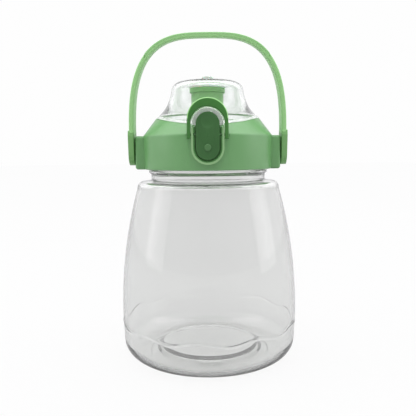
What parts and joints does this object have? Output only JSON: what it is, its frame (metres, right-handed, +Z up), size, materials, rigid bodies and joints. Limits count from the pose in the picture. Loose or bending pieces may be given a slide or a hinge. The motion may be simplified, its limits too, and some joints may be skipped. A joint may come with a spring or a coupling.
{
  "type": "kids water bottle",
  "caption": "Clear big-bellied kids drinking bottle with a screw lid, a spout under a hinged clear dome, a push button, a lock loop and a carry handle.",
  "frame": {"origin": "centre of the base, on the surface the bottle stands on", "axes": "+Z up along the bottle, -Y towards the front with the push button, +X to the right seen from the front"},
  "size_m": [0.1146, 0.1146, 0.2082],
  "materials": {
    "clear_body": "clear, glossy",
    "clear_dome": "clear, glossy",
    "lid_green": "satin moulded plastic",
    "liner_green": "satin moulded plastic",
    "spout_green": "soft satin",
    "button_green": "satin moulded plastic",
    "loop_green": "satin moulded plastic",
    "handle_green": "satin moulded plastic",
    "grip_green": "fine matte",
    "pin_green": "satin moulded plastic",
    "silicone": "translucent silicone",
    "steel": "satin"
  },
  "bodies": {
    "bottle": {"bottle_body": "clear_body"},
    "seal_ring": {"lid_seal_ring": "silicone"},
    "lid": {"lid_shell": "lid_green", "lid_liner": "liner_green", "spout_mouthpiece": "spout_green", "spout_o_ring": "silicone", "vent_valve": "silicone", "hinge_pin": "steel", "hinge_spring": "steel", "latch_pin": "steel", "button_spring": "steel", "handle_pin_left": "pin_green", "handle_pin_right": "pin_green"},
    "dome": {"dome_cover": "clear_dome", "spout_stopper": "silicone"},
    "button": {"push_button": "button_green"},
    "loop": {"lock_loop": "loop_green"},
    "handle": {"handle_strap": "handle_green", "handle_grip": "grip_green"}
  },
  "joints": [
    {"name": "lid_lift", "type": "slide", "parent": "bottle", "child": "seal_ring", "axis": [0, 0, 1], "range_m": [0, 0.0401]},
    {"name": "lid_turn", "type": "hinge", "parent": "seal_ring", "child": "lid", "pos_m": [0, 0, 0.13], "axis": [0, 0, 1], "range_deg": [0, 2880]},
    {"name": "dome_open", "type": "hinge", "parent": "lid", "child": "dome", "pos_m": [0, 0.0343, 0.1624], "axis": [-1, 0, 0], "range_deg": [0, 108]},
    {"name": "handle_swing", "type": "hinge", "parent": "lid", "child": "handle", "pos_m": [0, 0, 0.1333], "axis": [-1, 0, 0], "range_deg": [-110, 119]},
    {"name": "lock_loop_swing", "type": "hinge", "parent": "lid", "child": "loop", "pos_m": [0, -0.0431, 0.1434], "axis": [1, 0, 0], "range_deg": [0, 150]},
    {"name": "button_press", "type": "hinge", "parent": "lid", "child": "button", "pos_m": [0, -0.0431, 0.1434], "axis": [1, 0, 0], "range_deg": [0, 6], "stiffness_Nm_per_rad": 0.05, "springref_deg": -2.86, "deforming": ["button_spring"]}
  ],
  "couplings": [
    {"joint": "lid_lift", "follows": "lid_turn", "m_per_rad": 0.00079577},
    {"joint": "handle_swing", "follows": "dome_open", "ratio": 1.1}
  ]
}
